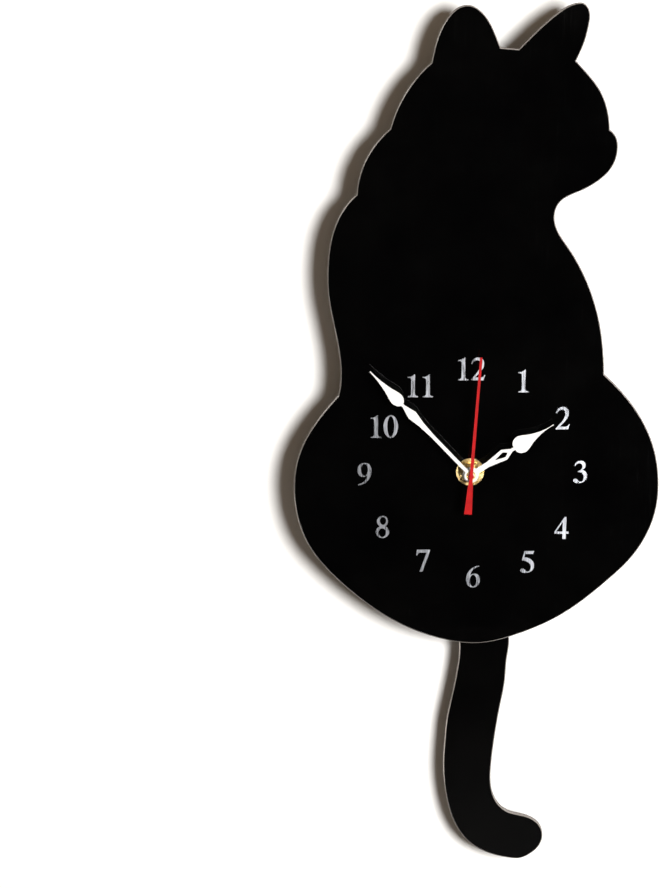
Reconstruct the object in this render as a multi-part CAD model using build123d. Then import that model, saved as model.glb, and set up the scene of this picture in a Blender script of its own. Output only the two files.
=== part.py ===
from build123d import *
import os
from math import cos, sin, pi, radians

os.makedirs("parts", exist_ok=True)

# Cat tail clock: flat cat silhouette in front of a pendulum quartz movement, tail swinging below.
# Frame: +Z up, X to the right seen from the front, the wall is the plane Y = 0, the front faces -Y.
# Every depth below is a distance in front of the wall. Shapes are drawn about the hand axis and
# lowered by HUB_DROP when saved, so the origin is the nail hole of the hanger.

# ---------------------------------------------------------------- driving dimensions (mm)
HUB_DROP = 42.0            # nail hole down to the hand axis

CASE_W = 56.0
CASE_TOP = 28.0            # above the hand axis
CASE_BOTTOM = -66.0
CASE_WALL = 1.2
CASE_CORNER = 4.0
COVER_T = 1.6
CASE_FRONT = 17.6          # outer front face of the case
CASE_INNER = CASE_FRONT - CASE_WALL

SHEET_T = 1.0              # steel hanger sheet
RUBBER_T = 1.0
PANEL_T = 3.0              # body and tail plates
PANEL_BEVEL = 0.5
WASHER_T = 0.6
NUT_T = 2.6
HAND_T = 0.4

RUBBER_D = CASE_FRONT + SHEET_T
PANEL_D = RUBBER_D + RUBBER_T
WASHER_D = PANEL_D + PANEL_T
NUT_D = WASHER_D + WASHER_T
POST_SHOWING = 2.2         # post standing out of the nut
THREAD_PITCH = 0.5
THREAD_DEPTH = 0.25
POST_END = NUT_D + NUT_T + POST_SHOWING
HOUR_D = POST_END + 0.7
MINUTE_D = HOUR_D + 1.9
SECOND_D = MINUTE_D + 1.9

POST_R = 3.95
POST_BORE = 2.6
HOUR_TUBE_R = 2.55
HOUR_TUBE_BORE = 1.8
MINUTE_TUBE_R = 1.75
MINUTE_TUBE_BORE = 0.55
COLLET_R = 2.6
ARBOR_R = 0.5
PIVOT_R = 0.4
RUNNING_GAP = 0.05

HOUR_ANGLE = 57.6          # clockwise from twelve, as the hands stand
MINUTE_ANGLE = 316.5
SECOND_ANGLE = 3.8

NUMERAL_H = 12.8
NUMERAL_T = 0.3
DIGIT_PITCH = 8.2

TAIL_D = 10.0              # rear face of the tail plate
PIVOT_Z = -39.0            # swing axis of the lever
HOOK_Z = -84.0
HOOK_R = 1.5

BATTERY_R = 7.25
BATTERY_L = 49.2
BATTERY_Z = -25.0
BATTERY_D = COVER_T + BATTERY_R + 0.15

# gear train: tooth counts, modules and wheel layers
ADDENDUM = 0.75
DEDENDUM = 1.15
WHEEL_T = 0.8
PINION_T = 1.2
INTERMEDIATE_LAYER = 4.8
SECONDS_LAYER = 6.8
THIRD_LAYER = 9.0
CENTRE_LAYER = 11.4
MINUTE_WORK_LAYER = 13.2
HOUR_LAYER = 15.1
PINION_LEAD = 0.2          # pinions stand this far behind the wheel they drive
PLATE_LAYER = 10.3
PLATE_T = 0.6
BOSS_END = 3.4
BOSS_R = 1.2
ARBOR_START = 2.0

MOD_ROTOR = 0.22
MOD_INTER = 0.25
MOD_THIRD = 9.0 / 34
MOD_CENTRE = 0.25
MOD_CANNON = 0.3
MOD_HOUR = 0.288
MOD_SETTING = 0.3

TEETH_ROTOR, TEETH_INTER = 12, 60
TEETH_INTER_PINION, TEETH_SECONDS = 10, 60
TEETH_SECONDS_PINION, TEETH_THIRD = 8, 60
TEETH_THIRD_PINION, TEETH_CENTRE = 8, 64
TEETH_CANNON, TEETH_MINUTE_WORK = 12, 36
TEETH_WORK_PINION, TEETH_HOUR = 10, 40
TEETH_SETTING = 14


# ---------------------------------------------------------------- small helpers
def slab(sketch, depth, thickness):
    """Plate with its rear face at the given depth, growing towards the front."""
    return extrude(Plane.XZ.offset(depth) * sketch, thickness)


def disc(radius, depth, thickness, at=(0, 0), bore=0.0):
    sketch = Circle(radius)
    if bore:
        sketch -= Circle(bore)
    return slab(Pos(*at) * sketch, depth, thickness)


def block(x0, x1, z0, z1, depth0, depth1):
    """Box given by its limits; depths count from the wall."""
    size = (x1 - x0, depth1 - depth0, z1 - z0)
    middle = ((x0 + x1) / 2, -(depth0 + depth1) / 2, (z0 + z1) / 2)
    return Pos(*middle) * Box(*size)


def rod_x(radius, x0, x1, depth, z):
    """Round bar lying along X."""
    return Pos((x0 + x1) / 2, -depth, z) * Rot(0, 90, 0) * Cylinder(radius, x1 - x0)


def polar(distance, degrees_from_x):
    return (distance * cos(radians(degrees_from_x)), distance * sin(radians(degrees_from_x)))


def shifted(point, step):
    return (point[0] + step[0], point[1] + step[1])


def outline(start, *runs):
    """Closed face: a run of one point is straight, a longer run is a smooth curve through it."""
    edges = []
    here = start
    for run in runs:
        edges.append(Line(here, run[0]) if len(run) == 1 else Spline(here, *run))
        here = run[-1]
    return make_face(edges)


def both_sides(half_widths):
    """Closed face symmetric about the Y axis from (distance, half width) stations with straight sides."""
    right = [(w, s) for s, w in half_widths]
    left = [(-w, s) for s, w in reversed(half_widths)]
    return make_face(Polyline(*right, *left, close=True))


def save(name, solid):
    export_step(Pos(0, 0, -HUB_DROP) * solid, f"parts/{name}.step")


# ---------------------------------------------------------------- gears
def gear_face(teeth, module, phase):
    """Tapered straight-sided teeth; phase is the angle of one tooth centre, in radians."""
    pitch_r = teeth * module / 2
    tip_r = pitch_r + ADDENDUM * module
    root_r = pitch_r - DEDENDUM * module
    step = 2 * pi / teeth
    corners = ((root_r, -0.27), (tip_r, -0.10), (tip_r, 0.10), (root_r, 0.27))
    points = []
    for tooth in range(teeth):
        for radius, share in corners:
            angle = phase + (tooth + share) * step
            points.append((radius * cos(angle), radius * sin(angle)))
    return make_face(Polyline(*points, close=True))


def gear(teeth, module, phase, depth, thickness, at, bore=0.0):
    face = gear_face(teeth, module, phase)
    if bore:
        face -= Circle(bore)
    return slab(Pos(*at) * face, depth, thickness)


def mesh_phase(teeth_a, phase_a, teeth_b, bearing):
    """Phase of gear B so its gaps meet the teeth of A along the bearing from A to B."""
    line = radians(bearing)
    return line + pi - pi / teeth_b + (line - phase_a) * teeth_a / teeth_b


# axis positions about the hand axis
THIRD_BEARING = 150.0
INTER_BEARING = 30.0
ROTOR_BEARING = 75.0
WORK_BEARING = 225.0
SETTING_BEARING = 200.0

THIRD_AT = polar((TEETH_SECONDS_PINION + TEETH_THIRD) * MOD_THIRD / 2, THIRD_BEARING)
INTER_AT = polar((TEETH_INTER_PINION + TEETH_SECONDS) * MOD_INTER / 2, INTER_BEARING)
ROTOR_AT = shifted(INTER_AT, polar((TEETH_ROTOR + TEETH_INTER) * MOD_ROTOR / 2, ROTOR_BEARING))
WORK_AT = polar((TEETH_CANNON + TEETH_MINUTE_WORK) * MOD_CANNON / 2, WORK_BEARING)
SETTING_REACH = (TEETH_SETTING + TEETH_MINUTE_WORK) * MOD_SETTING / 2
SETTING_AT = shifted(WORK_AT, polar(SETTING_REACH, SETTING_BEARING))


ROTOR_HUB_R = 1.2
MAGNET_D = 7.0             # rear face of the rotor magnet
MAGNET_T = 1.8


def rotor():
    """Stepping motor rotor: hub and twelve-leaf pinion moulded on a fine arbor."""
    length = PLATE_LAYER + PLATE_T - ARBOR_START
    arbor = disc(PIVOT_R, ARBOR_START, length, ROTOR_AT)
    pinion = gear(TEETH_ROTOR, MOD_ROTOR, 0.0, INTERMEDIATE_LAYER - PINION_LEAD, PINION_T, ROTOR_AT)
    hub_start = INTERMEDIATE_LAYER + 1.0
    hub = disc(ROTOR_HUB_R, hub_start, MAGNET_D + MAGNET_T - hub_start, ROTOR_AT)
    return arbor + pinion + hub


def rotor_magnet():
    return disc(2.5, MAGNET_D, MAGNET_T, ROTOR_AT, ROTOR_HUB_R)


def intermediate_wheel():
    wheel_phase = mesh_phase(TEETH_ROTOR, 0.0, TEETH_INTER, ROTOR_BEARING + 180)
    arbor = disc(PIVOT_R, ARBOR_START, PLATE_LAYER + PLATE_T - ARBOR_START, INTER_AT)
    wheel = gear(TEETH_INTER, MOD_ROTOR, wheel_phase, INTERMEDIATE_LAYER, WHEEL_T, INTER_AT)
    pinion = gear(TEETH_INTER_PINION, MOD_INTER, 0.0, INTERMEDIATE_LAYER + WHEEL_T, 2.2, INTER_AT)
    return arbor + wheel + pinion


def seconds_wheel():
    """Seconds wheel and pinion on the long arbor that carries the second hand."""
    wheel_phase = mesh_phase(TEETH_INTER_PINION, 0.0, TEETH_SECONDS, INTER_BEARING + 180)
    arbor = disc(ARBOR_R, ARBOR_START, SECOND_D - ARBOR_START, (0, 0))
    wheel = gear(TEETH_SECONDS, MOD_INTER, wheel_phase, SECONDS_LAYER, WHEEL_T, (0, 0))
    pinion = gear(TEETH_SECONDS_PINION, MOD_THIRD, 0.0, SECONDS_LAYER + WHEEL_T, 2.4, (0, 0))
    return arbor + wheel + pinion


def third_wheel():
    wheel_phase = mesh_phase(TEETH_SECONDS_PINION, 0.0, TEETH_THIRD, THIRD_BEARING)
    arbor = disc(PIVOT_R, ARBOR_START, 11.8, THIRD_AT)
    wheel = gear(TEETH_THIRD, MOD_THIRD, wheel_phase, THIRD_LAYER, WHEEL_T, THIRD_AT)
    pinion = gear(TEETH_THIRD_PINION, MOD_CENTRE, 0.0, THIRD_LAYER + WHEEL_T, 2.7, THIRD_AT)
    return arbor + wheel + pinion


def centre_wheel():
    """Centre wheel, cannon pinion and the tube of the minute hand in one moulding."""
    wheel_phase = mesh_phase(TEETH_THIRD_PINION, 0.0, TEETH_CENTRE, THIRD_BEARING + 180)
    face = gear_face(TEETH_CENTRE, MOD_CENTRE, wheel_phase) - Circle(MINUTE_TUBE_BORE)
    wheel = slab(face, CENTRE_LAYER, WHEEL_T)
    pinion_start = CENTRE_LAYER + WHEEL_T
    pinion_end = MINUTE_WORK_LAYER + 1.0
    pinion = gear(TEETH_CANNON, MOD_CANNON, 0.0, pinion_start, pinion_end - pinion_start, (0, 0),
                  MINUTE_TUBE_BORE)
    tube_end = MINUTE_D + HAND_T + 0.3
    tube = disc(MINUTE_TUBE_R, pinion_end, tube_end - pinion_end, (0, 0), MINUTE_TUBE_BORE)
    return wheel + pinion + tube


def minute_work_wheel():
    wheel_phase = mesh_phase(TEETH_CANNON, 0.0, TEETH_MINUTE_WORK, WORK_BEARING)
    bore = 0.7 + RUNNING_GAP
    wheel = gear(TEETH_MINUTE_WORK, MOD_CANNON, wheel_phase, MINUTE_WORK_LAYER, WHEEL_T, WORK_AT, bore)
    start = MINUTE_WORK_LAYER + WHEEL_T
    pinion = gear(TEETH_WORK_PINION, MOD_HOUR, 0.0, start, 2.1, WORK_AT, bore)
    return wheel + pinion


def hour_wheel():
    """Hour wheel with the tube of the hour hand, turning over the minute tube."""
    wheel_phase = mesh_phase(TEETH_WORK_PINION, 0.0, TEETH_HOUR, WORK_BEARING + 180)
    wheel = gear(TEETH_HOUR, MOD_HOUR, wheel_phase, HOUR_LAYER, 0.9, (0, 0), HOUR_TUBE_BORE)
    tube_end = HOUR_D + HAND_T + 0.3
    tube = disc(HOUR_TUBE_R, HOUR_LAYER + 0.9, tube_end - HOUR_LAYER - 0.9, (0, 0), HOUR_TUBE_BORE)
    return wheel + tube


def setting_knob():
    """Rear thumb knob whose pinion turns the minute-work wheel."""
    work_phase = mesh_phase(TEETH_CANNON, 0.0, TEETH_MINUTE_WORK, WORK_BEARING)
    phase = mesh_phase(TEETH_MINUTE_WORK, work_phase, TEETH_SETTING, SETTING_BEARING)
    knob = slab(Pos(*SETTING_AT) * RegularPolygon(5.0, 24), 0.4, 2.0)
    x, z = SETTING_AT
    slot = block(x - 3.4, x + 3.4, z - 0.5, z + 0.5, 0.4, 1.2)
    shaft = disc(1.0, 2.4, MINUTE_WORK_LAYER - 2.4, SETTING_AT)
    pinion = gear(TEETH_SETTING, MOD_SETTING, phase, MINUTE_WORK_LAYER - 0.2, 1.2, SETTING_AT)
    tip = disc(0.6, MINUTE_WORK_LAYER + 1.0, 1.6, SETTING_AT)
    return knob - slot + shaft + pinion + tip


# ---------------------------------------------------------------- hands
def turned(sketch, clockwise):
    return Rot(0, 0, -clockwise) * sketch


def hour_hand():
    """Spade hand with an open kite behind the spade."""
    arm = both_sides([(1, 1.5), (11, 1.5), (21.4, 3.2), (26.4, 0.85), (28.5, 0.95)])
    kite = make_face(Polyline((0, 15.2), (1.6, 21.3), (0, 23.8), (-1.6, 21.3), close=True))
    spade_side = [(4.5, 34.4), (2.9, 38.0), (1.2, 43.0), (0.3, 53.1)]
    spade = outline((0.95, 28.0), [(3.2, 28.8), (4.9, 32.2), *spade_side], [(-0.3, 53.1)],
                    [(-x, y) for x, y in reversed(spade_side[:-1])]
                    + [(-4.9, 32.2), (-3.2, 28.8), (-0.95, 28.0)],
                    [(0.95, 28.0)])
    eye = Circle(4.4)
    face = arm - kite + spade + eye - Circle(HOUR_TUBE_R)
    return slab(turned(face, HOUR_ANGLE), HOUR_D, HAND_T)


def minute_hand():
    """Longer spade hand with a solid kite."""
    arm = both_sides([(1, 0.95), (31, 0.95), (40, 1.5), (47.3, 2.65), (54.2, 0.75), (55.8, 0.85)])
    spade_side = [(3.3, 61.3), (2.35, 64.8), (1.1, 70.8), (0.3, 80.9)]
    spade = outline((0.85, 55.3), [(2.5, 56.7), (3.45, 59.3), *spade_side], [(-0.3, 80.9)],
                    [(-x, y) for x, y in reversed(spade_side[:-1])]
                    + [(-3.45, 59.3), (-2.5, 56.7), (-0.85, 55.3)],
                    [(0.85, 55.3)])
    face = arm + spade + Circle(3.6) - Circle(COLLET_R)
    return slab(turned(face, MINUTE_ANGLE), MINUTE_D, HAND_T)


def minute_collet():
    """Turned brass bush pressed into the eye of the minute hand."""
    bush = disc(COLLET_R, MINUTE_D - 0.5, HAND_T + 0.7, (0, 0), MINUTE_TUBE_R)
    return chamfer(bush.edges().group_by(Axis.Y)[0].sort_by(SortBy.RADIUS)[-1], 0.15)


def second_hand():
    """Fine red needle with a widening counterweight and a pressed cap over the arbor."""
    needle = both_sides([(-21.6, 2.15), (-6, 1.4), (-2, 0.95), (2, 0.9), (67, 0.65)])
    face = needle + Circle(1.5)
    blade = slab(turned(face, SECOND_ANGLE), SECOND_D, 0.3)
    collar = disc(1.1, SECOND_D - 0.8, 0.8, (0, 0), ARBOR_R)
    cap = disc(1.15, SECOND_D + 0.3, 0.4)
    return blade + collar + cap


# ---------------------------------------------------------------- silhouette plates
def body_face():
    """Sitting cat from behind, head turned to the right."""
    left_ear = [(-20.5, 237.4), (-15.7, 246.9), (-10.4, 252.3), (-4.6, 253.9), (2.5, 250.3), (8.6, 241.4),
                (12.6, 231.8)]
    right_ear = [(29.4, 238.4), (37.2, 245.7), (45.6, 252.2), (50.9, 254.7), (56.1, 254.7), (59.1, 250.2),
                 (59, 244.6), (56.6, 234.4), (52.6, 224.9)]
    forehead = [(59.7, 217.3), (66.1, 208.7), (70, 198.8), (71.4, 188.6)]
    muzzle = [(75.2, 184.1), (76, 177.7), (74.7, 171.7), (71.7, 166.4), (67.3, 162.1), (57.2, 156),
              (51.3, 153.5), (46.5, 150.4), (43.8, 145.9), (43.3, 140.3), (44.9, 134.8), (51.5, 124.6),
              (57.9, 114.2), (63.1, 103.1), (68.7, 85.5), (71.6, 67.4), (72.4, 55)]
    haunches = [(81.6, 45.9), (90, 35.6), (96.9, 23.9), (101.7, 11.2), (104.3, -5.5), (103.3, -22.4),
                (96.1, -41.5), (88.4, -52.4), (78.9, -62), (64, -75.1), (47.5, -86.3), (29.3, -94.5),
                (6.4, -100.2), (-16.7, -97.2), (-29.4, -92.9), (-47, -83.7), (-63, -71.8), (-77.6, -58.1),
                (-89.6, -42.1), (-96.1, -23.1), (-97.3, -6.2), (-94.3, 10.1), (-85.2, 27.7), (-72.8, 43.1)]
    back = [(-71.5, 55.1), (-73.9, 75.7), (-78.4, 100.3), (-78.7, 113.3), (-75.8, 133.3), (-70.7, 144.9),
            (-63, 153.9)]
    cheek = [(-61.5, 164.1), (-55.2, 177.9), (-45.3, 189.1)]
    crown = [(-41.6, 199.7), (-33.1, 214.1), (-23.8, 224)]
    return outline((-23.8, 224), left_ear, [(22.2, 231)], right_ear, forehead, muzzle, haunches, back,
                   cheek, crown)


def tail_face():
    """Tail hanging down and curling to the right, with a rounded hanging eye at the top."""
    eye = [(9.1, -77.7), (1, -75.5), (-5.2, -78.3), (-7.4, -84.2)]
    right_side = [(17.3, -84.2), (22.7, -93.8), (24.3, -102.2), (23.2, -112.9), (22.3, -126.8),
                  (20.1, -140.3), (18.1, -153), (16.4, -166.4), (15.3, -179.3), (15.7, -191.9)]
    curl = [(17.9, -198.9), (21.7, -204.2), (26.3, -207.2), (32.4, -208.8), (38.7, -210.9), (43.8, -215.1),
            (45.9, -221.8), (43.9, -228.5), (39.1, -233.3), (33.1, -236.2), (26.8, -236), (14.2, -232.7)]
    left_side = [(2.9, -225.6), (-4.9, -214.7), (-9.3, -201.8), (-11.6, -188.6), (-12.3, -175.1),
                 (-11.6, -161.7), (-10.4, -148.4), (-7.9, -135.5), (-5.5, -122.4), (-4, -109.7),
                 (-4.3, -101.3), (-6.3, -91.6)]
    return make_face(Spline(*right_side, *curl, *left_side, *reversed(eye), periodic=True))


def bevelled(face, depth):
    plate = slab(face, depth, PANEL_T)
    rims = plate.edges().group_by(Axis.Y)
    return chamfer(rims[0], PANEL_BEVEL)


def body_panel():
    plate = bevelled(body_face(), PANEL_D)
    return plate - disc(POST_R + 0.1, PANEL_D - 1, PANEL_T + 2)


def tail():
    plate = bevelled(tail_face(), TAIL_D)
    return plate - disc(HOOK_R, TAIL_D - 1, PANEL_T + 2, (0, HOOK_Z))


# ---------------------------------------------------------------- numerals
UNIT = NUMERAL_H / 100     # digits are drawn 62 wide and 100 tall


def grid(point):
    """Digit grid point to millimetres about the middle of the digit."""
    return ((point[0] - 31) * UNIT, (point[1] - 50) * UNIT)


def pen(start, *moves):
    """Closed face from straight moves (one point) and curved moves (control points, end last)."""
    edges = []
    here = grid(start)
    for move in moves:
        stops = [grid(point) for point in move]
        edges.append(Line(here, stops[0]) if len(stops) == 1 else Bezier(here, *stops))
        here = stops[-1]
    return make_face(edges)


def oval(x, y, rx, ry):
    return Pos(*grid((x, y))) * Ellipse(rx * UNIT, ry * UNIT)


HOOKED_BOWL = ([(60, 12), (44, 0), (22, 0)], [(9, 0), (1, 5), (1, 12)], [(1, 17), (5, 20), (10, 20)],
               [(20, 20), (22, 6), (32, 6)], [(41, 6), (46, 15), (46, 27)])


def digit_0():
    return oval(31, 50, 31, 50) - oval(31, 50, 15, 46)


def digit_1():
    return pen((10, 0), [(54, 0)], [(54, 4)], [(43, 5), (40, 9), (40, 16)], [(40, 100)], [(37, 100)],
               [(28, 91), (19, 89), (9, 89)], [(9, 85)], [(20, 86), (24, 82), (24, 73)], [(24, 16)],
               [(24, 9), (21, 5), (10, 4)], [(10, 0)])


def digit_2():
    return pen((1, 0), [(54, 0)], [(61, 23)], [(57, 23)], [(53, 14), (48, 12), (42, 12)], [(18, 12)],
               [(40, 36), (56, 50), (56, 71)], [(56, 89), (46, 100), (30, 100)],
               [(15, 100), (4, 90), (1, 72)],
               [(5, 71)], [(10, 82), (16, 88), (25, 88)], [(35, 88), (41, 82), (41, 70)],
               [(41, 49), (22, 28), (1, 4)], [(1, 0)])


def digit_3():
    return pen((4, 78), [(9, 92), (18, 100), (31, 100)], [(44, 100), (53, 92), (53, 80)],
               [(53, 70), (47, 64), (39, 59)], [(52, 55), (60, 46), (60, 32)], *HOOKED_BOWL,
               [(46, 42), (36, 50), (20, 50)], [(20, 54)], [(30, 56), (39, 63), (39, 75)],
               [(39, 84), (33, 89), (25, 89)], [(17, 89), (12, 85), (8, 76)], [(4, 78)])


def digit_4():
    body = pen((51, 0), [(51, 24)], [(62, 24)], [(62, 34)], [(51, 34)], [(51, 100)], [(44, 100)],
               [(1, 33)], [(1, 24)], [(36, 24)], [(36, 0)], [(51, 0)])
    return body - pen((36, 34), [(36, 78)], [(8, 34)], [(36, 34)])


def digit_5():
    return pen((17, 100), [(60, 100)], [(54, 87)], [(21, 87)], [(17, 71)], [(40, 69), (60, 57), (60, 32)],
               *HOOKED_BOWL, [(46, 45), (29, 56), (7, 57)], [(17, 100)])


def digit_6():
    body = pen((58, 100), [(26, 96), (1, 72), (1, 36)], [(1, 13), (13, 0), (31, 0)],
               [(49, 0), (61, 13), (61, 33)], [(61, 52), (51, 63), (37, 63)],
               [(31, 63), (25, 61), (19, 56)], [(22, 78), (38, 92), (58, 96)], [(58, 100)])
    return body - oval(31.5, 31, 14.5, 27)


def digit_7():
    return pen((4, 100), [(61, 100)], [(61, 95)], [(29, 0)], [(17, 0)], [(46, 87)], [(19, 87)],
               [(12, 87), (8, 82), (6, 74)], [(1, 75)], [(4, 100)])


def digit_8():
    body = oval(31, 75, 24, 25) + oval(31, 27, 29, 27) + oval(31, 51, 15, 9)
    return body - oval(33, 77.5, 13.5, 18) - oval(30, 24, 16, 20)


def digit_9():
    return Rot(0, 0, 180) * digit_6()


DIGITS = (digit_0, digit_1, digit_2, digit_3, digit_4, digit_5, digit_6, digit_7, digit_8, digit_9)

# centre of each stick-on numeral about the hand axis, as hand-placed round the dial
NUMERAL_SPOTS = {
    1: (28.3, 51.5), 2: (50.4, 30.6), 3: (60.8, -0.1), 4: (51.2, -32.4), 5: (32.7, -52.2), 6: (2.5, -60.7),
    7: (-25.5, -51.4), 8: (-48.2, -31.8), 9: (-58.3, -1.3), 10: (-48.1, 25.8), 11: (-28.0, 48.8),
    12: (-0.6, 58.3),
}


def numeral(number):
    figures = str(number)
    first = -(len(figures) - 1) * DIGIT_PITCH / 2
    result = None
    for place, figure in enumerate(figures):
        spot = shifted(NUMERAL_SPOTS[number], (first + place * DIGIT_PITCH, 0))
        piece = slab(Pos(*spot) * DIGITS[int(figure)](), PANEL_D + PANEL_T, NUMERAL_T)
        result = piece if result is None else result + piece
    return result


# ---------------------------------------------------------------- dial-side hardware
def front_washer():
    return disc(7.75, WASHER_D, WASHER_T, (0, 0), POST_R + 0.1)


def hex_nut():
    hexagon = RegularPolygon(5.5, 6, major_radius=False) - Circle(POST_R)
    nut = slab(hexagon, NUT_D, NUT_T)
    crown = Plane.XZ.offset(NUT_D + NUT_T) * Circle(5.7)
    rounding = extrude(crown, -NUT_T, taper=-30)
    return nut & rounding


def rubber_washer():
    return disc(10.0, RUBBER_D, RUBBER_T, (0, 0), POST_R + 0.1)


def threaded_post():
    post = disc(POST_R, CASE_INNER, POST_END - CASE_INNER, (0, 0), POST_BORE)
    for turn in range(int(POST_SHOWING / THREAD_PITCH)):
        depth = NUT_D + NUT_T + (turn + 0.3) * THREAD_PITCH
        post -= disc(POST_R + 1, depth, THREAD_PITCH / 2, (0, 0), POST_R - THREAD_DEPTH)
    return post


def wall_hanger():
    """Bent steel sheet: front leaf on the post, tongue over the case, hanging tab at the wall."""
    leaf = block(-14, 14, -13, 31.5, CASE_FRONT, CASE_FRONT + SHEET_T)
    tongue = block(-9, 9, 30.5, 31.5, 0, CASE_FRONT + SHEET_T)
    tab = block(-9, 9, 30.5, 50, 0, SHEET_T)
    blank = leaf + tongue + tab
    blank = fillet(blank.edges().filter_by(Axis.Y).filter_by_position(Axis.Z, 49, 51), 5.0)
    hub_hole = disc(POST_R + 0.1, CASE_FRONT - 1, SHEET_T + 2)
    nail_hole = disc(2.2, -1, SHEET_T + 2, (0, HUB_DROP))
    return blank - hub_hole - nail_hole


# ---------------------------------------------------------------- movement case
def case_footprint(inset):
    centre_z = (CASE_TOP + CASE_BOTTOM) / 2
    height = CASE_TOP - CASE_BOTTOM - 2 * inset
    return Pos(0, centre_z) * RectangleRounded(CASE_W - 2 * inset, height, CASE_CORNER - inset)


SCREW_SPOTS = [(x, z) for x in (-23.6, 23.6) for z in (-61.6, -13.0)]
PLATE_POSTS = [(11.5, -7.5), (-12.0, 13.5), (13.0, 15.6), (-11.9, 0.6)]


def movement_case():
    shell = slab(case_footprint(0), COVER_T, CASE_FRONT - COVER_T)
    shell -= slab(case_footprint(CASE_WALL), COVER_T, CASE_INNER - COVER_T)
    inner_half = CASE_W / 2 - CASE_WALL
    for low in (BATTERY_Z + BATTERY_R + 0.4, BATTERY_Z - BATTERY_R - 1.2):
        shell += block(-inner_half, inner_half, low, low + 0.8, COVER_T, CASE_INNER)
    for spot in SCREW_SPOTS:
        shell += disc(2.4, COVER_T, CASE_INNER - COVER_T, spot)
    for spot in PLATE_POSTS:
        shell += disc(1.0, PLATE_LAYER + PLATE_T, CASE_INNER - PLATE_LAYER - PLATE_T, spot)
    shell += disc(0.7, MINUTE_WORK_LAYER - 0.6, CASE_INNER - MINUTE_WORK_LAYER + 0.6, WORK_AT)
    shell += disc(BOSS_R, 12.8, CASE_INNER - 12.8, THIRD_AT)
    shell += disc(1.6, 14.6, CASE_INNER - 14.6, SETTING_AT)
    shell += disc(2.4, 13.2, CASE_INNER - 13.2, (0, PIVOT_Z))
    shell -= disc(PIVOT_R + RUNNING_GAP, 12.0, CASE_INNER - 12.0, THIRD_AT)
    shell -= disc(0.6 + RUNNING_GAP, 14.0, CASE_INNER - 14.0, SETTING_AT)
    shell -= disc(1.0, 12.0, CASE_INNER - 12.0, (0, PIVOT_Z))
    shell -= disc(POST_R, CASE_INNER - 1, CASE_WALL + 2)
    for spot in SCREW_SPOTS:
        shell -= disc(0.9, 0, 8.6, spot)
    shell -= block(-8.0, 8.0, CASE_BOTTOM - 1, CASE_BOTTOM + 2, 5.6, 15.4)
    return shell


def movement_cover():
    """Back cover flush with the wall: battery window, knob well, pivot bosses, screw holes."""
    cover = slab(case_footprint(0), 0, COVER_T)
    window_half = CASE_W / 2 - CASE_WALL - 1.0
    low, high = BATTERY_Z - BATTERY_R, BATTERY_Z + BATTERY_R
    cover -= block(-window_half, window_half, low, high, -1, COVER_T + 1)
    cover -= disc(5.4, -1, COVER_T + 2, SETTING_AT)
    for spot in (ROTOR_AT, INTER_AT, THIRD_AT):
        cover += disc(BOSS_R, COVER_T, BOSS_END - COVER_T, spot)
        cover -= disc(PIVOT_R + RUNNING_GAP, ARBOR_START - 0.2, 3.0, spot)
    cover += disc(BOSS_R, COVER_T, BOSS_END - COVER_T)
    cover -= disc(ARBOR_R + RUNNING_GAP, ARBOR_START - 0.2, 3.0)
    cover += disc(2.4, COVER_T, 1.8, (0, PIVOT_Z))
    cover -= disc(1.0, COVER_T, 3.0, (0, PIVOT_Z))
    for spot in SCREW_SPOTS:
        cover -= disc(2.0, -1, 1.9, spot)
        cover -= disc(1.1, -1, COVER_T + 2, spot)
    return cover


def cover_screws():
    screws = None
    for spot in SCREW_SPOTS:
        head = disc(1.9, 0.1, 0.8, spot)
        slot = block(spot[0] - 1.9, spot[0] + 1.9, spot[1] - 0.25, spot[1] + 0.25, 0.0, 0.5)
        screw = head - slot + disc(0.9, 0.9, 7.0, spot)
        screws = screw if screws is None else screws + screw
    return screws


def train_plate():
    plate = slab(Pos(0.5, 4) * RectangleRounded(29, 27, 2), PLATE_LAYER, PLATE_T)
    for spot in (ROTOR_AT, INTER_AT):
        plate -= disc(PIVOT_R + RUNNING_GAP, PLATE_LAYER - 1, PLATE_T + 2, spot)
    plate -= disc(1.6, PLATE_LAYER - 1, PLATE_T + 2, THIRD_AT)
    plate -= disc(ARBOR_R + RUNNING_GAP, PLATE_LAYER - 1, PLATE_T + 2)
    plate -= disc(1.0 + RUNNING_GAP, PLATE_LAYER - 1, PLATE_T + 2, SETTING_AT)
    return plate


# ---------------------------------------------------------------- stepping motor and electronics
COIL_Z = 22.5
STATOR_D = 7.6
STATOR_T = 0.6
CORE_D = STATOR_D + STATOR_T
CORE_T = 1.0
CORE_HALF = 1.2


def stator():
    """Soft-iron yoke with the rotor hole in its base and two legs up to the coil core."""
    x, z = ROTOR_AT
    base = block(-13.5, 18, z - 2.2, z + 2.2, STATOR_D, CORE_D)
    legs = block(-13.5, -10.7, z, COIL_Z + 1.5, STATOR_D, CORE_D)
    legs += block(15, 18, z, COIL_Z + 1.5, STATOR_D, CORE_D)
    ring = disc(4.6, STATOR_D, STATOR_T, ROTOR_AT)
    return base + legs + ring - disc(3.0, STATOR_D - 1, STATOR_T + 2, ROTOR_AT)


def coil_core():
    return block(-13.5, 18, COIL_Z - CORE_HALF, COIL_Z + CORE_HALF, CORE_D, CORE_D + CORE_T)


def coil_bobbin():
    middle = CORE_D + CORE_T / 2
    bobbin = rod_x(1.9, -10, 14.4, middle, COIL_Z)
    bobbin += rod_x(3.9, -10, -9.4, middle, COIL_Z)
    bobbin += rod_x(3.9, 13.8, 14.4, middle, COIL_Z)
    return bobbin - coil_core()


def coil_winding():
    middle = CORE_D + CORE_T / 2
    return rod_x(3.6, -9.4, 13.8, middle, COIL_Z) - rod_x(1.9, -11, 15, middle, COIL_Z)


BOARD_D = 3.0


def circuit_board():
    return block(-26.2, -14.6, 4, 25, BOARD_D, BOARD_D + 1.0)


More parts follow.
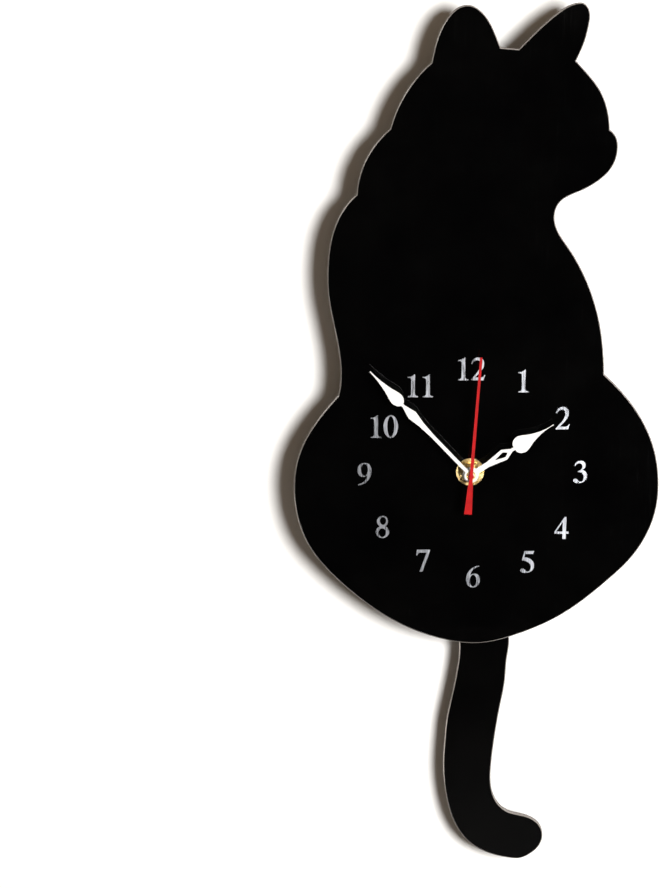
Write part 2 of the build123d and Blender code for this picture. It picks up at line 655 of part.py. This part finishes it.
def clock_chip():
    """Round resin blob over the clock chip."""
    blob = disc(2.6, BOARD_D + 1.0, 1.0, (-21, 10))
    return chamfer(blob.edges().group_by(Axis.Y)[0], 0.5)


def quartz_crystal():
    can = Pos(-20.4, -(BOARD_D + 2.0), 19) * Cylinder(1.0, 6.2)
    return can


def battery():
    """AA cell lying across the bay, button to the right."""
    right_end = CASE_W / 2 - CASE_WALL - 0.4
    body_end = right_end - 1.3
    cell = rod_x(BATTERY_R, body_end - BATTERY_L, body_end, BATTERY_D, BATTERY_Z)
    cell = chamfer(cell.edges().filter_by(GeomType.CIRCLE), 0.4)
    return cell + rod_x(2.7, body_end, right_end, BATTERY_D, BATTERY_Z)


def positive_contact():
    face = CASE_W / 2 - CASE_WALL
    return block(face - 0.4, face, BATTERY_Z - 5, BATTERY_Z + 5, 4.0, 14.0)


def negative_contact():
    """Bent leaf spring pressing on the flat end of the cell."""
    face = -(CASE_W / 2 - CASE_WALL)
    cell_end = CASE_W / 2 - CASE_WALL - 0.4 - 1.3 - BATTERY_L
    back = block(face, face + 0.3, BATTERY_Z - 5, BATTERY_Z + 5, 4.0, 14.0)
    x0 = face + 0.3
    leaf = Polyline((x0, -4.8), (cell_end - 0.3, 0), (x0, 4.8), (x0, 4.4), (cell_end - 0.9, 0), (x0, -4.4),
                    close=True)
    spring = slab(Pos(0, BATTERY_Z) * make_face(leaf), 6.0, 6.0)
    return back + spring


# ---------------------------------------------------------------- pendulum drive
LEVER_D = 7.4
LEVER_T = TAIL_D - LEVER_D
MAGNET_Z = -56.0


def pendulum_bobbin():
    bobbin = disc(2.4, COVER_T, 2.4, (0, MAGNET_Z), 1.2)
    bobbin += disc(8.0, COVER_T, 0.4, (0, MAGNET_Z), 1.2)
    bobbin += disc(8.0, COVER_T + 2.0, 0.4, (0, MAGNET_Z), 1.2)
    return bobbin


def pendulum_coil():
    return disc(7.4, COVER_T + 0.4, 1.6, (0, MAGNET_Z), 2.4)


def pendulum_lever():
    """Moulded arm from the pivot down through the slot in the case bottom to the tail hook."""
    arm = both_sides([(HOOK_Z - 3.6, 2.2), (HOOK_Z - 2, 3.2), (MAGNET_Z - 8, 2.6), (PIVOT_Z, 2.6)])
    face = arm + Pos(0, PIVOT_Z) * Circle(3.6) + Pos(0, MAGNET_Z) * Circle(5.6)
    lever = slab(face, LEVER_D, LEVER_T)
    lever -= disc(1.7, LEVER_D - 1, LEVER_T + 2, (0, PIVOT_Z))
    lever -= disc(HOOK_R, LEVER_D - 1, LEVER_T + 2, (0, HOOK_Z))
    return lever


def lever_bushing():
    return disc(1.7, LEVER_D - 0.8, LEVER_T + 1.6, (0, PIVOT_Z), 1.0 + RUNNING_GAP)


def pendulum_magnet():
    return disc(4.6, LEVER_D - 2.6, 2.6, (0, MAGNET_Z))


def pivot_pin():
    return disc(1.0, COVER_T, CASE_INNER - COVER_T, (0, PIVOT_Z))


def tail_hook():
    """Brass stud that carries the tail on the lever, with a retaining head."""
    stud = disc(HOOK_R, LEVER_D, TAIL_D + PANEL_T - LEVER_D, (0, HOOK_Z))
    return stud + disc(2.6, TAIL_D + PANEL_T, 1.0, (0, HOOK_Z))


# ---------------------------------------------------------------- assembly
PIECES = {
    "body_panel": body_panel,
    "front_washer": front_washer,
    "hex_nut": hex_nut,
    "rubber_washer": rubber_washer,
    "threaded_post": threaded_post,
    "wall_hanger": wall_hanger,
    "hour_hand": hour_hand,
    "minute_hand": minute_hand,
    "minute_collet": minute_collet,
    "second_hand": second_hand,
    "tail": tail,
    "tail_hook": tail_hook,
    "movement_case": movement_case,
    "movement_cover": movement_cover,
    "cover_screws": cover_screws,
    "train_plate": train_plate,
    "rotor": rotor,
    "rotor_magnet": rotor_magnet,
    "intermediate_wheel": intermediate_wheel,
    "seconds_wheel": seconds_wheel,
    "third_wheel": third_wheel,
    "centre_wheel": centre_wheel,
    "minute_work_wheel": minute_work_wheel,
    "hour_wheel": hour_wheel,
    "setting_knob": setting_knob,
    "stator": stator,
    "coil_core": coil_core,
    "coil_bobbin": coil_bobbin,
    "coil_winding": coil_winding,
    "circuit_board": circuit_board,
    "clock_chip": clock_chip,
    "quartz_crystal": quartz_crystal,
    "battery": battery,
    "positive_contact": positive_contact,
    "negative_contact": negative_contact,
    "pendulum_bobbin": pendulum_bobbin,
    "pendulum_coil": pendulum_coil,
    "pendulum_lever": pendulum_lever,
    "lever_bushing": lever_bushing,
    "pendulum_magnet": pendulum_magnet,
    "pivot_pin": pivot_pin,
}

for name, make in PIECES.items():
    save(name, make())

for number in NUMERAL_SPOTS:
    save(f"numeral_{number}", numeral(number))
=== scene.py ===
from math import radians, tau

import bpy
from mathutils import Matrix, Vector


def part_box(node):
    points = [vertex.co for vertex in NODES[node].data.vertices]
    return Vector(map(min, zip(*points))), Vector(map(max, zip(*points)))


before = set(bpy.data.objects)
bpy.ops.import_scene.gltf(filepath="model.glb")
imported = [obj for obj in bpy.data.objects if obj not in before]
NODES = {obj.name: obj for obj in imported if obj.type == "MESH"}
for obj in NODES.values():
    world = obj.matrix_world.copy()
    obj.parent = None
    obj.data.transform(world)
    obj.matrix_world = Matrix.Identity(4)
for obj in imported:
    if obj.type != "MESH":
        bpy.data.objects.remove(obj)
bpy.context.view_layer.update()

MM = 0.001

# ---------------------------------------------------------------- camera, measured from the hand axis
CAMERA_FROM_HUB = (-0.0768, -1.2783, 0.3523)
CAMERA_PITCH = 15.0          # degrees looked down
CAMERA_LENS = 95.8           # mm, for a sensor SENSOR_WIDTH wide
SENSOR_WIDTH = 36.0
CLIP_NEAR, CLIP_FAR = 0.05, 50.0

# ---------------------------------------------------------------- stage, in metres
WALL_Y = 1.5 * MM            # behind the plane the clock rests on
WALL_HALF_WIDTH = 1.6
WALL_TOP = 1.3
GROUND_Z = -0.9
FLOOR_REACH = 4.0
FLOOR_FRONT = -2.2
MIRROR_CLEARANCE = 0.06      # reflections shorter than this see through the wall
WALL_TONE = (0.9, 0.9, 0.9)
FLOOR_TONE = (0.08, 0.08, 0.08)
FLOOR_GLOW = (0.62, 0.62, 0.61, 1.0)
FLOOR_PALENESS = 0.9         # share of the glow in what the camera sees of the floor
MOTTLE = 0.985               # the darkest patches of stage paint, as a share of its tone

# ---------------------------------------------------------------- background
PALE_BACKGROUND = (0.86, 0.87, 0.88, 1.0)
WARM_FILL, WARM_FILL_STRENGTH = (1.0, 0.74, 0.5, 1.0), 0.17
DARK_MIRRORED, DARK_MIRRORED_STRENGTH = (1.0, 0.85, 0.75, 1.0), 0.012

# ---------------------------------------------------------------- textures
NOISE_ROUGHNESS = 0.55
RIM_TURN = 0.9               # a face is rim when its normal is less than this much front to back
RIM_FROST = 0.2              # roughness added on the rim
LACQUER_SPREAD = 0.12        # from the smoothest to the roughest lacquer
DRAWN_SHADE = 0.8            # the darkest lines of drawn metal, as a share of its tint
RING_PITCH = 0.32            # mm, turning marks
WIRE_PITCH = 0.24            # mm, turns of a coil
WEAVE_PITCH = 0.9            # mm, glass weave of the laminate
TRACKS_PER_METRE = 400.0
# socket numbers of a Mix node that mixes colours
MIX_FIRST, MIX_SECOND, MIX_RESULT = 6, 7, 2

# ---------------------------------------------------------------- lamps
# name, place, target (metres from the hand axis), width, watts, colour, lights surfaces, is mirrored
LAMPS = (
    ("key", (0.66, -1.4, 0.3), (0.0, 0.0, 0.05), 0.66, 45.0, (1.0, 0.985, 0.96), True, True),
    ("overhead shine", (0.0, -0.4, 1.1), (0.0, 0.0, 0.0), 0.5, 1.6, (1.0, 0.93, 0.84), False, True),
    ("upper left shine", (-1.0, -0.16, 0.62), (0.0, 0.0, 0.1), 0.4, 2.2, (1.0, 0.94, 0.88), False, True),
    ("lower left shine", (-0.9, -0.06, -0.5), (0.0, 0.0, -0.15), 0.36, 3.0, (1.0, 0.92, 0.82), False, True),
    ("right shine", (1.0, -0.12, -0.1), (0.0, 0.0, 0.0), 0.2, 0.5, (1.0, 0.86, 0.66), False, True),
    ("dial shine", (0.48, -1.25, -0.38), (0.0, 0.0, 0.0), 0.22, 3.3, (0.96, 0.97, 1.0), False, True),
    ("back left", (-1.1, 1.5, 0.7), (0.0, 0.0, -0.05), 0.8, 26.0, (1.0, 0.99, 0.97), True, False),
    ("back right", (1.3, 1.2, 0.8), (0.0, 0.0, -0.05), 0.8, 19.0, (0.96, 0.98, 1.0), True, True),
)

# ---------------------------------------------------------------- places read from the frame
post_low, post_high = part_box("threaded_post")
HUB = Vector(((post_low.x + post_high.x) / 2, 0.0, (post_low.z + post_high.z) / 2))
battery_low, battery_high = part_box("battery")


# ---------------------------------------------------------------- camera, lamps and flat stage pieces
def look(obj, target):
    obj.rotation_mode = "QUATERNION"
    obj.rotation_quaternion = (Vector(target) - obj.location).to_track_quat("-Z", "Y")


def add_camera():
    data = bpy.data.cameras.new("camera")
    data.sensor_width = SENSOR_WIDTH
    data.lens = CAMERA_LENS
    data.dof.use_dof = False
    data.clip_start, data.clip_end = CLIP_NEAR, CLIP_FAR
    cam = bpy.data.objects.new("camera", data)
    cam.location = HUB + Vector(CAMERA_FROM_HUB)
    cam.rotation_euler = (radians(90.0 - CAMERA_PITCH), 0.0, 0.0)
    bpy.context.scene.collection.objects.link(cam)
    bpy.context.scene.camera = cam


def add_lamp(name, place, target, width, watts, colour, lights, mirrored):
    """A soft round lamp that the camera doesn't see."""
    data = bpy.data.lights.new(name, "AREA")
    data.shape = "DISK"
    data.size = width
    data.energy = watts
    data.color = colour
    lamp = bpy.data.objects.new(name, data)
    lamp.location = HUB + Vector(place)
    look(lamp, HUB + Vector(target))
    lamp.visible_camera = False
    lamp.visible_diffuse = lights
    lamp.visible_glossy = mirrored
    bpy.context.scene.collection.objects.link(lamp)


def plane(name, corners, material):
    mesh = bpy.data.meshes.new(name)
    mesh.from_pydata(corners, [], [range(4)])
    obj = bpy.data.objects.new(name, mesh)
    obj.data.materials.append(material)
    bpy.context.scene.collection.objects.link(obj)


# ---------------------------------------------------------------- material building blocks
class Graph:
    """A small helper round one node tree."""

    def __init__(self, name):
        self.material = bpy.data.materials.new(name)
        self.material.use_nodes = True
        self.nodes = self.material.node_tree.nodes
        self.links = self.material.node_tree.links
        self.shader = self.nodes["Principled BSDF"]
        self.coords = None

    def add(self, kind, **settings):
        node = self.nodes.new(kind)
        for key, value in settings.items():
            setattr(node, key, value)
        return node

    def join(self, source, target):
        self.links.new(source, target)

    def place(self, scale=(1.0, 1.0, 1.0), shift=(0.0, 0.0, 0.0)):
        """The point on the piece, in metres, moved and then stretched."""
        if self.coords is None:
            self.coords = self.add("ShaderNodeTexCoord").outputs["Object"]
        moved = self.add("ShaderNodeVectorMath", operation="SUBTRACT")
        self.join(self.coords, moved.inputs[0])
        moved.inputs[1].default_value = shift
        grown = self.add("ShaderNodeVectorMath", operation="MULTIPLY")
        self.join(moved.outputs[0], grown.inputs[0])
        grown.inputs[1].default_value = scale
        return grown.outputs[0]

    def noise(self, size_mm, detail=3.0, stretch=(1.0, 1.0, 1.0)):
        """Noise from 0 to 1 with lumps about size_mm across, longer where an axis is stretched."""
        node = self.add("ShaderNodeTexNoise")
        node.inputs["Detail"].default_value = detail
        node.inputs["Roughness"].default_value = NOISE_ROUGHNESS
        node.inputs["Scale"].default_value = 1.0
        scale = [1.0 / (size_mm * MM * s) for s in stretch]
        self.join(self.place(scale), node.inputs["Vector"])
        return node.outputs["Fac"]

    def math(self, operation, a, b=0.0):
        node = self.add("ShaderNodeMath", operation=operation)
        for socket, value in zip(node.inputs, (a, b)):
            if isinstance(value, (int, float)):
                socket.default_value = value
            else:
                self.join(value, socket)
        return node.outputs[0]

    def spread(self, value, low, high, out_low, out_high):
        """Turns the range low to high smoothly into out_low to out_high."""
        node = self.add("ShaderNodeMapRange", interpolation_type="SMOOTHSTEP")
        self.join(value, node.inputs["Value"])
        ends = {"From Min": low, "From Max": high, "To Min": out_low, "To Max": out_high}
        for key, number in ends.items():
            node.inputs[key].default_value = number
        return node.outputs["Result"]

    def tones(self, value, stops):
        """Colours along a ramp: stops are (position, colour)."""
        node = self.add("ShaderNodeValToRGB")
        ramp = node.color_ramp
        for index, (position, colour) in enumerate(stops):
            stop = ramp.elements[index] if index < 2 else ramp.elements.new(position)
            stop.position = position
            stop.color = (*colour, 1.0)
        self.join(value, node.inputs["Fac"])
        return node.outputs["Color"]

    def mix(self, value, first, second):
        node = self.add("ShaderNodeMix", data_type="RGBA")
        self.join(value, node.inputs["Factor"])
        for socket, colour in ((node.inputs[MIX_FIRST], first), (node.inputs[MIX_SECOND], second)):
            if isinstance(colour, tuple):
                socket.default_value = (*colour, 1.0)
            else:
                self.join(colour, socket)
        return node.outputs[MIX_RESULT]

    def bump(self, height, strength, depth_mm):
        node = self.add("ShaderNodeBump")
        node.inputs["Strength"].default_value = strength
        node.inputs["Distance"].default_value = depth_mm * MM
        self.join(height, node.inputs["Height"])
        self.join(node.outputs["Normal"], self.shader.inputs["Normal"])

    def set(self, **values):
        """Even values, put on the shader's own sockets."""
        for key, value in values.items():
            self.shader.inputs[key.replace("_", " ")].default_value = value

    def colour(self, socket):
        self.join(socket, self.shader.inputs["Base Color"])

    def roughness(self, socket):
        self.join(socket, self.shader.inputs["Roughness"])

    def across(self, centre, axis):
        """Distance from a line through centre along axis (0, 1 or 2), in metres."""
        keep = [1.0, 1.0, 1.0]
        keep[axis] = 0.0
        length = self.add("ShaderNodeVectorMath", operation="LENGTH")
        self.join(self.place(keep, tuple(centre)), length.inputs[0])
        return length.outputs["Value"]

    def along(self, axis, start=0.0):
        """Distance along an axis from start, in metres."""
        split = self.add("ShaderNodeSeparateXYZ")
        shift = [0.0, 0.0, 0.0]
        shift[axis] = start
        self.join(self.place(shift=tuple(shift)), split.inputs[0])
        return split.outputs[axis]

    def ripples(self, distance, pitch_mm):
        """A wave from -1 to 1 that repeats every pitch_mm."""
        return self.math("SINE", self.math("MULTIPLY", distance, tau / (pitch_mm * MM)))


# ---------------------------------------------------------------- the object's materials
def gloss_black():
    """Mirror-bright black faces and a frosted, paler sawn rim."""
    g = Graph("gloss black sheet")
    g.set(IOR=1.49)
    dust = g.noise(38.0, 4.0)
    hairlines = g.noise(1.1, 2.0, (1.0, 1.0, 30.0))
    normal = g.add("ShaderNodeSeparateXYZ")
    g.join(g.add("ShaderNodeNewGeometry").outputs["True Normal"], normal.inputs[0])
    rim = g.math("LESS_THAN", g.math("ABSOLUTE", normal.outputs["Y"]), RIM_TURN)
    saw_marks = g.noise(0.5, 2.0, (1.0, 12.0, 1.0))
    face = g.tones(dust, [(0.3, (0.0003, 0.0003, 0.0004)), (0.75, (0.0009, 0.0009, 0.0009))])
    sawn = g.tones(saw_marks, [(0.3, (0.17, 0.155, 0.145)), (0.7, (0.27, 0.25, 0.235))])
    g.colour(g.mix(rim, face, sawn))
    smear = g.spread(dust, 0.35, 0.75, 0.03, 0.07)
    polish = g.math("ADD", smear, g.spread(hairlines, 0.55, 0.8, 0.0, 0.04))
    g.roughness(g.math("ADD", polish, g.math("MULTIPLY", rim, RIM_FROST)))
    g.bump(g.math("ADD", g.noise(60.0, 1.0), g.math("MULTIPLY", rim, saw_marks)), 0.25, 0.04)
    return g.material


def silver_film():
    """Brushed silver foil, streaked up and down."""
    g = Graph("silver numeral film")
    g.set(Metallic=1.0)
    streaks = g.noise(0.55, 3.0, (1.0, 1.0, 14.0))
    clouds = g.noise(9.0, 2.0)
    g.colour(g.tones(streaks, [(0.25, (0.34, 0.35, 0.38)), (0.75, (0.72, 0.73, 0.77))]))
    brushed = g.spread(streaks, 0.3, 0.75, 0.25, 0.31)
    g.roughness(g.math("ADD", brushed, g.spread(clouds, 0.4, 0.7, 0.0, 0.05)))
    g.bump(streaks, 0.35, 0.02)
    return g.material


def turned_brass():
    """Brass with turning marks round the hand axis."""
    g = Graph("turned brass")
    g.set(Metallic=1.0)
    wear = g.noise(2.4, 4.0)
    rings = g.ripples(g.across(HUB, 1), RING_PITCH)
    g.colour(g.tones(wear, [(0.3, (0.72, 0.47, 0.15)), (0.7, (0.93, 0.74, 0.38))]))
    g.roughness(g.spread(wear, 0.3, 0.7, 0.24, 0.36))
    g.bump(rings, 0.3, 0.02)
    return g.material


def lacquer(name, dark, light, rough, shine=0.5):
    """Sprayed lacquer with faint patches and a fine grain."""
    g = Graph(name)
    g.set(Specular_IOR_Level=shine)
    patches = g.noise(5.0, 3.0)
    grain = g.noise(0.35, 3.0)
    g.colour(g.tones(patches, [(0.3, dark), (0.7, light)]))
    g.roughness(g.spread(grain, 0.35, 0.7, rough, rough + LACQUER_SPREAD))
    g.bump(grain, 0.2, 0.02)
    return g.material


def rubber():
    """Black rubber with a greyish bloom."""
    g = Graph("black rubber")
    g.set(IOR=1.45)
    bloom = g.noise(1.6, 4.0)
    g.colour(g.tones(bloom, [(0.3, (0.012, 0.012, 0.012)), (0.75, (0.03, 0.029, 0.028))]))
    g.roughness(g.spread(bloom, 0.3, 0.7, 0.62, 0.85))
    g.bump(g.noise(0.3, 2.0), 0.4, 0.05)
    return g.material


def plated_steel(name, dark, light, low, high, size_mm):
    """Steel with a spangle of cells size_mm across, and roughness from low to high."""
    g = Graph(name)
    g.set(Metallic=1.0)
    cells = g.add("ShaderNodeTexVoronoi")
    cells.inputs["Scale"].default_value = 1.0
    g.join(g.place([1.0 / (size_mm * MM)] * 3), cells.inputs["Vector"])
    spangle = g.add("ShaderNodeSeparateColor")
    g.join(cells.outputs["Color"], spangle.inputs[0])
    g.colour(g.tones(spangle.outputs[0], [(0.0, dark), (1.0, light)]))
    g.roughness(g.spread(g.noise(1.2, 4.0), 0.3, 0.7, low, high))
    g.bump(g.noise(0.4, 3.0, (1.0, 1.0, 8.0)), 0.2, 0.02)
    return g.material


def moulded(name, dark, light, rough, grain_mm, grain_strength, scatter=0.0):
    """Moulded plastic with a fine grain; scatter lets a little light into pale ones."""
    g = Graph(name)
    if scatter:
        g.set(Subsurface_Weight=scatter, Subsurface_Radius=(0.002, 0.0016, 0.0012), Subsurface_Scale=1.0)
    flow = g.noise(14.0, 4.0)
    grain = g.noise(grain_mm, 3.0)
    g.colour(g.tones(flow, [(0.3, dark), (0.7, light)]))
    g.roughness(g.spread(grain, 0.3, 0.7, rough - 0.06, rough + 0.1))
    g.bump(grain, grain_strength, 0.06)
    return g.material


def copper_turns(name, centre, axis):
    """Enamelled wire wound round the line through centre along axis."""
    g = Graph(name)
    g.set(Metallic=1.0, Coat_Weight=0.5, Coat_Roughness=0.15)
    tint = g.noise(1.5, 3.0)
    layers = g.ripples(g.along(axis), WIRE_PITCH)
    turns = g.math("ADD", layers, g.ripples(g.across(centre, axis), WIRE_PITCH))
    g.colour(g.tones(tint, [(0.3, (0.42, 0.13, 0.05)), (0.7, (0.75, 0.3, 0.13))]))
    g.roughness(g.spread(tint, 0.3, 0.7, 0.22, 0.34))
    g.bump(turns, 0.7, 0.06)
    return g.material


def circuit_laminate():
    """Green board with tracks under the solder mask."""
    g = Graph("green laminate")
    g.set(Coat_Weight=0.4, Coat_Roughness=0.2)
    weave = g.math("MULTIPLY", g.ripples(g.along(0), WEAVE_PITCH), g.ripples(g.along(2), WEAVE_PITCH))
    tracks = g.add("ShaderNodeTexBrick")
    tracks.inputs["Scale"].default_value = 1.0
    tracks.inputs["Mortar Size"].default_value = 0.08
    g.join(g.place([TRACKS_PER_METRE] * 3), tracks.inputs["Vector"])
    board = g.tones(weave, [(0.0, (0.02, 0.12, 0.045)), (1.0, (0.03, 0.16, 0.06))])
    g.colour(g.mix(tracks.outputs["Fac"], board, (0.05, 0.26, 0.1)))
    g.roughness(g.spread(g.noise(2.0), 0.3, 0.7, 0.35, 0.5))
    g.bump(tracks.outputs["Fac"], 0.3, 0.04)
    return g.material


def cell_wrap():
    """A plain dry cell: bare steel at the ends, a copper-toned band and a dark wrap between."""
    g = Graph("dry cell wrap")
    length = battery_high.x - battery_low.x
    here = g.along(0, battery_low.x)
    share = g.math("MULTIPLY", here, 1.0 / length)
    print_grain = g.noise(0.5, 2.0)
    bands = g.tones(share, [
        (0.0, (0.55, 0.55, 0.56)),
        (0.022, (0.55, 0.55, 0.56)),
        (0.03, (0.01, 0.012, 0.016)),
        (0.67, (0.013, 0.015, 0.02)),
        (0.675, (0.72, 0.34, 0.1)),
        (0.95, (0.66, 0.31, 0.09)),
        (0.957, (0.6, 0.6, 0.61)),
        (1.0, (0.6, 0.6, 0.61)),
    ])
    g.colour(g.mix(g.spread(print_grain, 0.35, 0.7, 0.0, 0.12), bands, (0.3, 0.3, 0.3)))
    g.set(Metallic=0.8, Coat_Weight=0.6, Coat_Roughness=0.12)
    g.roughness(g.spread(g.noise(3.0, 3.0), 0.3, 0.7, 0.24, 0.36))
    g.bump(print_grain, 0.1, 0.02)
    return g.material


def nickel(name, tint):
    """Drawn bright metal."""
    g = Graph(name)
    g.set(Metallic=1.0)
    drawn = g.noise(0.3, 3.0, (8.0, 1.0, 1.0))
    g.colour(g.tones(drawn, [(0.3, tuple(DRAWN_SHADE * t for t in tint)), (0.7, tint)]))
    g.roughness(g.spread(drawn, 0.3, 0.7, 0.18, 0.34))
    g.bump(drawn, 0.2, 0.01)
    return g.material


def assign(material, *names):
    for name in names:
        obj = NODES[name]
        obj.data.materials.clear()
        obj.data.materials.append(material)


def finish_nodes():
    assign(gloss_black(), "body_panel", "tail")
    assign(silver_film(), *[f"numeral_{n}" for n in range(1, 13)])
    assign(turned_brass(), "front_washer", "hex_nut", "threaded_post", "minute_collet", "tail_hook",
           "lever_bushing")
    assign(lacquer("white lacquer", (0.6, 0.6, 0.59), (0.7, 0.7, 0.69), 0.38), "hour_hand", "minute_hand")
    assign(lacquer("red lacquer", (0.3, 0.002, 0.003), (0.4, 0.003, 0.004), 0.36, 0.15), "second_hand")
    assign(rubber(), "rubber_washer")
    assign(plated_steel("zinc plate", (0.48, 0.5, 0.53), (0.68, 0.69, 0.7), 0.28, 0.46, 3.0),
           "wall_hanger", "cover_screws")
    assign(moulded("black moulding", (0.016, 0.016, 0.017), (0.024, 0.024, 0.025), 0.5, 0.35, 0.5),
           "movement_case", "movement_cover")
    assign(moulded("white moulding", (0.74, 0.73, 0.69), (0.84, 0.83, 0.8), 0.4, 0.6, 0.15, 0.1),
           "train_plate", "intermediate_wheel", "seconds_wheel", "third_wheel", "centre_wheel",
           "minute_work_wheel", "hour_wheel", "coil_bobbin", "pendulum_bobbin", "pendulum_lever", "rotor")
    assign(moulded("grey moulding", (0.3, 0.3, 0.31), (0.38, 0.38, 0.39), 0.45, 0.4, 0.3), "setting_knob")
    assign(plated_steel("soft iron", (0.3, 0.29, 0.28), (0.42, 0.41, 0.4), 0.34, 0.52, 1.2),
           "stator", "coil_core", "pivot_pin", "pendulum_magnet", "rotor_magnet")
    coil_low, coil_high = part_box("coil_winding")
    assign(copper_turns("motor coil", (coil_low + coil_high) / 2, 0), "coil_winding")
    ring_low, ring_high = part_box("pendulum_coil")
    assign(copper_turns("pendulum coil", (ring_low + ring_high) / 2, 1), "pendulum_coil")
    assign(circuit_laminate(), "circuit_board")
    assign(moulded("black resin", (0.008, 0.008, 0.008), (0.016, 0.016, 0.016), 0.24, 0.8, 0.2),
           "clock_chip")
    assign(nickel("crystal can", (0.72, 0.72, 0.74)), "quartz_crystal")
    assign(nickel("contact nickel", (0.78, 0.77, 0.74)), "positive_contact", "negative_contact")
    assign(cell_wrap(), "battery")


# ---------------------------------------------------------------- stage
def matt_paint(name, tone):
    g = Graph(name)
    g.set(Roughness=0.95, Specular_IOR_Level=0.0)
    g.colour(g.tones(g.noise(90.0, 3.0), [(0.3, tuple(MOTTLE * t for t in tone)), (0.7, tone)]))
    return g


def blend_with(g, share, other):
    """Shows the other shader in place of the paint by the given share."""
    blend = g.add("ShaderNodeMixShader")
    g.join(share, blend.inputs[0])
    g.join(g.shader.outputs[0], blend.inputs[1])
    g.join(other.outputs[0], blend.inputs[2])
    g.join(blend.outputs[0], g.nodes["Material Output"].inputs["Surface"])
    return g.material


def wall_paint():
    """White, but clear from behind, to shadow rays and to short reflections."""
    g = matt_paint("wall paint", WALL_TONE)
    path = g.add("ShaderNodeLightPath")
    back = g.add("ShaderNodeNewGeometry").outputs["Backfacing"]
    short = g.math("LESS_THAN", path.outputs["Ray Length"], MIRROR_CLEARANCE)
    near = g.math("MULTIPLY", path.outputs["Is Glossy Ray"], short)
    unseen = g.math("MAXIMUM", g.math("MAXIMUM", back, path.outputs["Is Shadow Ray"]), near)
    return blend_with(g, unseen, g.add("ShaderNodeBsdfTransparent"))


def floor_paint():
    """Pale to the camera, and dim to everything else so that it doesn't fill the shadow on the wall."""
    g = matt_paint("floor paint", FLOOR_TONE)
    pale = g.add("ShaderNodeEmission")
    pale.inputs["Color"].default_value = FLOOR_GLOW
    seen = g.add("ShaderNodeLightPath").outputs["Is Camera Ray"]
    return blend_with(g, g.math("MULTIPLY", seen, FLOOR_PALENESS), pale)


def build_stage():
    wall_corners = [
        (-WALL_HALF_WIDTH, WALL_Y, GROUND_Z),
        (WALL_HALF_WIDTH, WALL_Y, GROUND_Z),
        (WALL_HALF_WIDTH, WALL_Y, WALL_TOP),
        (-WALL_HALF_WIDTH, WALL_Y, WALL_TOP),
    ]
    plane("wall", wall_corners, wall_paint())
    floor_corners = [
        (-FLOOR_REACH, FLOOR_FRONT, GROUND_Z),
        (FLOOR_REACH, FLOOR_FRONT, GROUND_Z),
        (FLOOR_REACH, FLOOR_REACH, GROUND_Z),
        (-FLOOR_REACH, FLOOR_REACH, GROUND_Z),
    ]
    plane("floor", floor_corners, floor_paint())


def build_world():
    """Pale to the camera, warm and dim to matt surfaces, nearly black to shiny ones."""
    world = bpy.data.worlds.new("studio")
    world.use_nodes = True
    nodes, links = world.node_tree.nodes, world.node_tree.links
    dim = nodes["Background"]
    dim.inputs["Color"].default_value = WARM_FILL
    dim.inputs["Strength"].default_value = WARM_FILL_STRENGTH
    pale = nodes.new("ShaderNodeBackground")
    pale.inputs["Color"].default_value = PALE_BACKGROUND
    path = nodes.new("ShaderNodeLightPath")
    dark = nodes.new("ShaderNodeBackground")
    dark.inputs["Color"].default_value = DARK_MIRRORED
    dark.inputs["Strength"].default_value = DARK_MIRRORED_STRENGTH
    mirrored = nodes.new("ShaderNodeMixShader")
    links.new(path.outputs["Is Glossy Ray"], mirrored.inputs[0])
    links.new(dim.outputs[0], mirrored.inputs[1])
    links.new(dark.outputs[0], mirrored.inputs[2])
    blend = nodes.new("ShaderNodeMixShader")
    links.new(path.outputs["Is Camera Ray"], blend.inputs[0])
    links.new(mirrored.outputs[0], blend.inputs[1])
    links.new(pale.outputs[0], blend.inputs[2])
    links.new(blend.outputs[0], nodes["World Output"].inputs["Surface"])
    bpy.context.scene.world = world


add_camera()
finish_nodes()
build_stage()
build_world()
for row in LAMPS:
    add_lamp(*row)
bpy.context.scene.view_settings.view_transform = "Standard"
bpy.context.scene.view_settings.look = "None"
